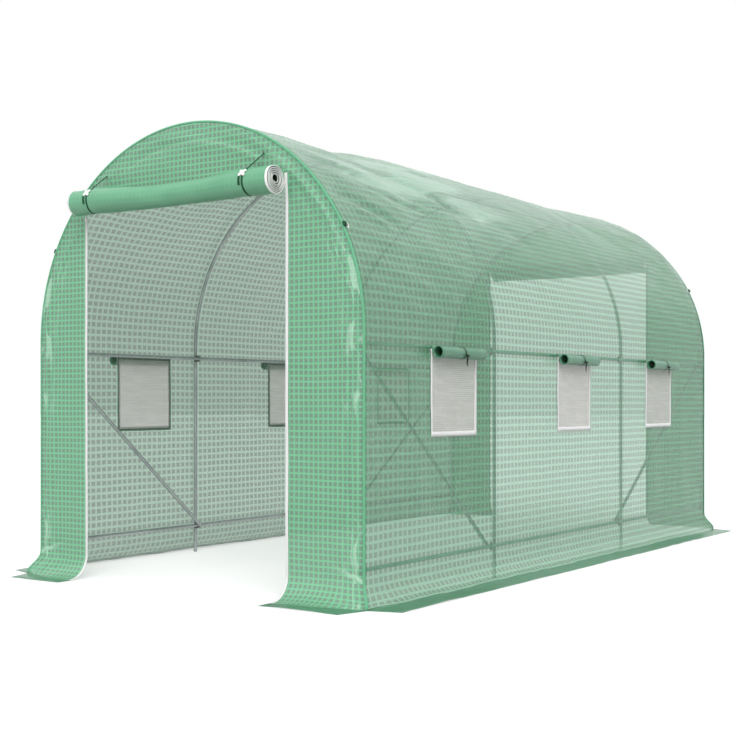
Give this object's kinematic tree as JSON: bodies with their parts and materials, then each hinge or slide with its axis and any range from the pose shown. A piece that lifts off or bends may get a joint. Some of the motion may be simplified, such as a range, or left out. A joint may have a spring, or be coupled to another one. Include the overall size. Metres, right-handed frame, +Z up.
{
  "type": "polytunnel greenhouse",
  "caption": "Walk-in polytunnel greenhouse: arched tube frame under a green scrim-reinforced film cover, end doors rolled up, mesh windows with rolled flaps and a ground skirt.",
  "frame": {"origin": "on the ground under the middle of the tunnel", "axes": "+Z up, -Y towards the front door, +X to the right seen from the front"},
  "size_m": [2.38, 4.46, 2.1699],
  "materials": {
    "galvanised_tube": "dull zinc coat with faint spangle",
    "clamp_steel": "satin dark grey paint",
    "roof_film": "translucent reinforced film, satin",
    "side_film": "translucent reinforced film, satin",
    "end_film": "translucent reinforced film, satin",
    "skirt_film": "reinforced film with a plain hem, satin",
    "rolled_film": "rolled reinforced film, satin",
    "window_mesh": "fine grey insect mesh edged with white tape",
    "tie_cord": "flat woven cord",
    "strap_webbing": "dark green woven webbing",
    "white_plastic": "white moulded plastic",
    "white_tape": "white woven zip tape"
  },
  "bodies": {
    "root": {"hoop_front": "galvanised_tube", "hoop_second": "galvanised_tube", "hoop_third": "galvanised_tube", "hoop_rear": "galvanised_tube", "ridge_pole": "galvanised_tube", "side_rail_right": "galvanised_tube", "side_rail_left": "galvanised_tube", "base_rail_right": "galvanised_tube", "base_rail_left": "galvanised_tube", "braces_right": "galvanised_tube", "braces_left": "galvanised_tube", "rail_clamps": "clamp_steel", "ridge_clamps": "clamp_steel", "roof_cover": "roof_film", "wall_cover_right": "side_film", "wall_cover_left": "side_film", "front_panel_left": "end_film", "front_panel_right": "end_film", "front_panel_top": "end_film", "rear_panel_left": "end_film", "rear_panel_right": "end_film", "rear_panel_top": "end_film", "skirt_right": "skirt_film", "skirt_left": "skirt_film", "skirt_front": "skirt_film", "skirt_rear": "skirt_film", "window_right_1": "window_mesh", "window_right_2": "window_mesh", "window_right_3": "window_mesh", "window_left_1": "window_mesh", "window_left_2": "window_mesh", "window_left_3": "window_mesh", "window_roll_right_1": "rolled_film", "window_roll_right_2": "rolled_film", "window_roll_right_3": "rolled_film", "window_roll_left_1": "rolled_film", "window_roll_left_2": "rolled_film", "window_roll_left_3": "rolled_film", "window_ties": "tie_cord", "door_roll_front": "rolled_film", "door_roll_rear": "rolled_film", "door_straps_front": "strap_webbing", "door_straps_rear": "strap_webbing", "strap_buckles": "white_plastic", "door_zips": "white_tape", "guy_rings": "white_plastic"}
  },
  "joints": []
}
